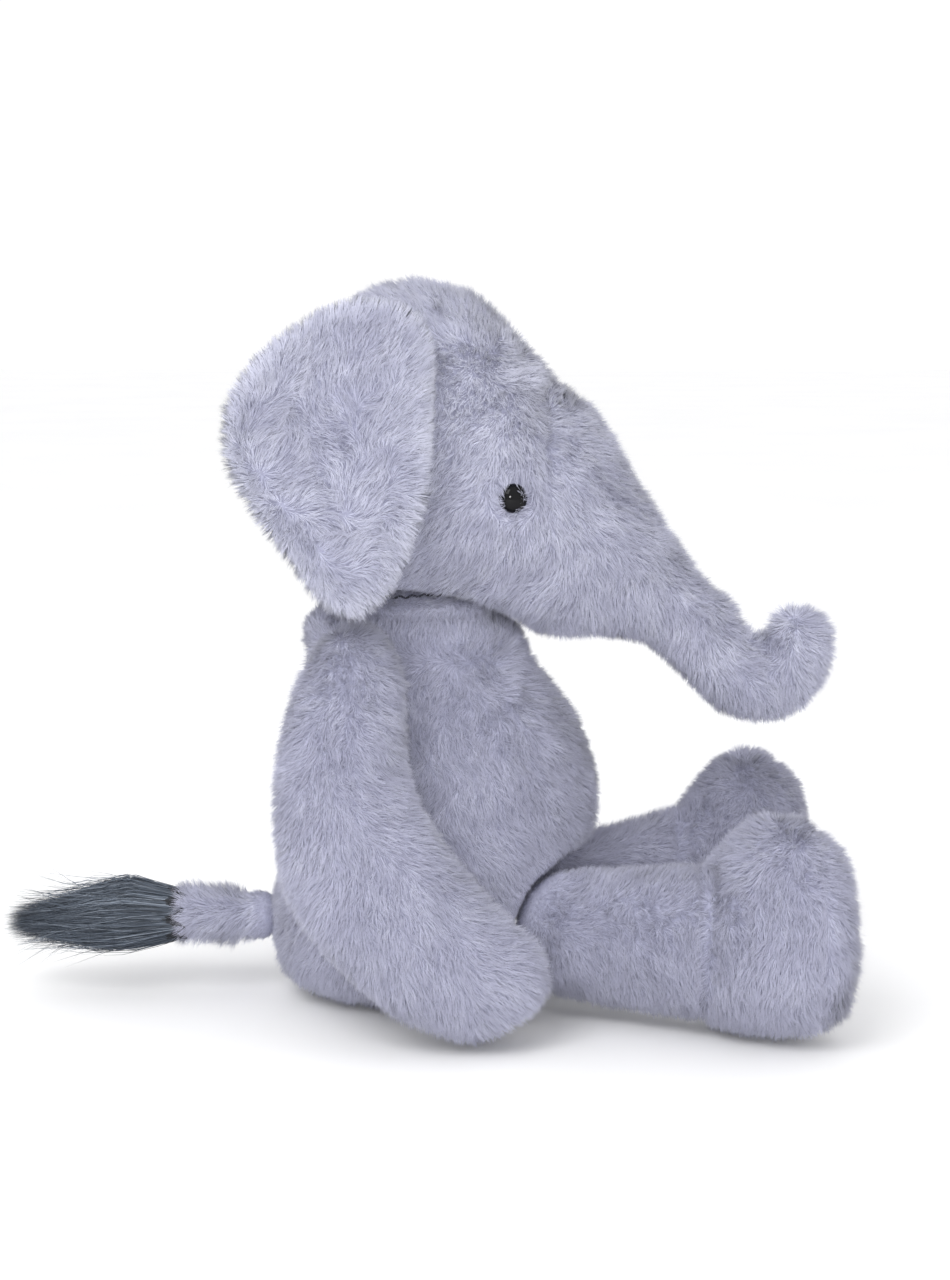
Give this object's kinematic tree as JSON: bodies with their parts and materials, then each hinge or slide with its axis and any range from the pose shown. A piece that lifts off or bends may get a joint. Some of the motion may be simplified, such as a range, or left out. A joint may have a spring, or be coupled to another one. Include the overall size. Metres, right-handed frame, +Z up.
{
  "type": "stuffed elephant",
  "caption": "Seated plush elephant with large flap ears, a curled trunk, soft splayed limbs and a tufted tail; sewn from short-pile panels over filling.",
  "frame": {"origin": "on the resting surface, under the middle of the seated toy", "axes": "+X the way the elephant faces, +Z up, Y = 0 the plane of symmetry"},
  "size_m": [0.341, 0.214, 0.3],
  "materials": {
    "plush": "matte",
    "tuft": "satin",
    "eye": "gloss",
    "washer": "satin",
    "filling": "matte",
    "pouch": "matte",
    "thread": "satin"
  },
  "bodies": {
    "torso": {"torso_panel_right": "plush", "torso_panel_left": "plush", "torso_filling": "filling", "seat_bean_bag": "pouch", "closing_stitches": "thread", "shoulder_threads": "thread"},
    "neck": {"neck_filling": "filling", "neck_stitching": "thread"},
    "head": {"head_back_panel_right": "plush", "head_back_panel_left": "plush", "head_front_panel_right": "plush", "head_front_panel_left": "plush", "head_filling": "filling", "eye_right": "eye", "eye_left": "eye", "eye_washer_right": "washer", "eye_washer_left": "washer", "trunk_panel_right": "plush", "trunk_panel_left": "plush", "trunk_filling": "filling"},
    "trunk_tip": {"trunk_tip_panel_right": "plush", "trunk_tip_panel_left": "plush", "trunk_tip_filling": "filling"},
    "tail": {"tail_panel_right": "plush", "tail_panel_left": "plush", "tail_filling": "filling", "tail_tuft": "tuft"},
    "ear_right": {"ear_outer_panel_right": "plush", "ear_inner_panel_right": "plush"},
    "arm_right": {"arm_outer_panel_right": "plush", "arm_inner_panel_right": "plush", "arm_filling_right": "filling"},
    "leg_right": {"leg_outer_panel_right": "plush", "leg_inner_panel_right": "plush", "leg_filling_right": "filling", "foot_cover_right": "plush", "foot_sole_right": "plush", "foot_bean_bag_right": "pouch"},
    "ear_left": {"ear_outer_panel_left": "plush", "ear_inner_panel_left": "plush"},
    "arm_left": {"arm_outer_panel_left": "plush", "arm_inner_panel_left": "plush", "arm_filling_left": "filling"},
    "leg_left": {"leg_outer_panel_left": "plush", "leg_inner_panel_left": "plush", "leg_filling_left": "filling", "foot_cover_left": "plush", "foot_sole_left": "plush", "foot_bean_bag_left": "pouch"}
  },
  "joints": [
    {"name": "head_turn", "type": "hinge", "parent": "torso", "child": "neck", "pos_m": [-0.0065, 0, 0.16], "axis": [0, 0, 1], "range_deg": [-35, 35]},
    {"name": "head_nod", "type": "hinge", "parent": "neck", "child": "head", "pos_m": [-0.0065, 0, 0.116], "axis": [0, -1, 0], "range_deg": [-6, 14]},
    {"name": "trunk_bend", "type": "hinge", "parent": "head", "child": "trunk_tip", "pos_m": [0.1115, 0, 0.155], "axis": [0, -1, 0], "range_deg": [-20, 20], "stiffness_Nm_per_rad": 0.12},
    {"name": "ear_flap_right", "type": "hinge", "parent": "head", "child": "ear_right", "pos_m": [-0.0025, -0.0595, 0.242], "axis": [0.0879, 0.1954, 0.9768], "range_deg": [-10, 50], "stiffness_Nm_per_rad": 0.05},
    {"name": "ear_flap_left", "type": "hinge", "parent": "head", "child": "ear_left", "pos_m": [-0.0025, 0.0595, 0.242], "axis": [-0.0879, 0.1954, -0.9768], "range_deg": [-10, 50], "stiffness_Nm_per_rad": 0.05},
    {"name": "arm_lift_right", "type": "hinge", "parent": "torso", "child": "arm_right", "pos_m": [-0.0265, -0.056, 0.15], "axis": [-0.7071, -0.7071, 0], "range_deg": [0, 75]},
    {"name": "arm_lift_left", "type": "hinge", "parent": "torso", "child": "arm_left", "pos_m": [-0.0265, 0.056, 0.15], "axis": [0.7071, -0.7071, 0], "range_deg": [0, 75]},
    {"name": "leg_lift_right", "type": "hinge", "parent": "torso", "child": "leg_right", "pos_m": [0.0645, -0.036, 0.034], "axis": [0, -1, 0], "range_deg": [0, 30]},
    {"name": "leg_lift_left", "type": "hinge", "parent": "torso", "child": "leg_left", "pos_m": [0.0645, 0.036, 0.034], "axis": [0, -1, 0], "range_deg": [0, 30]},
    {"name": "tail_wag", "type": "hinge", "parent": "torso", "child": "tail", "pos_m": [-0.0805, 0, 0.033], "axis": [0, 0, 1], "range_deg": [-50, 50], "stiffness_Nm_per_rad": 0.04}
  ]
}
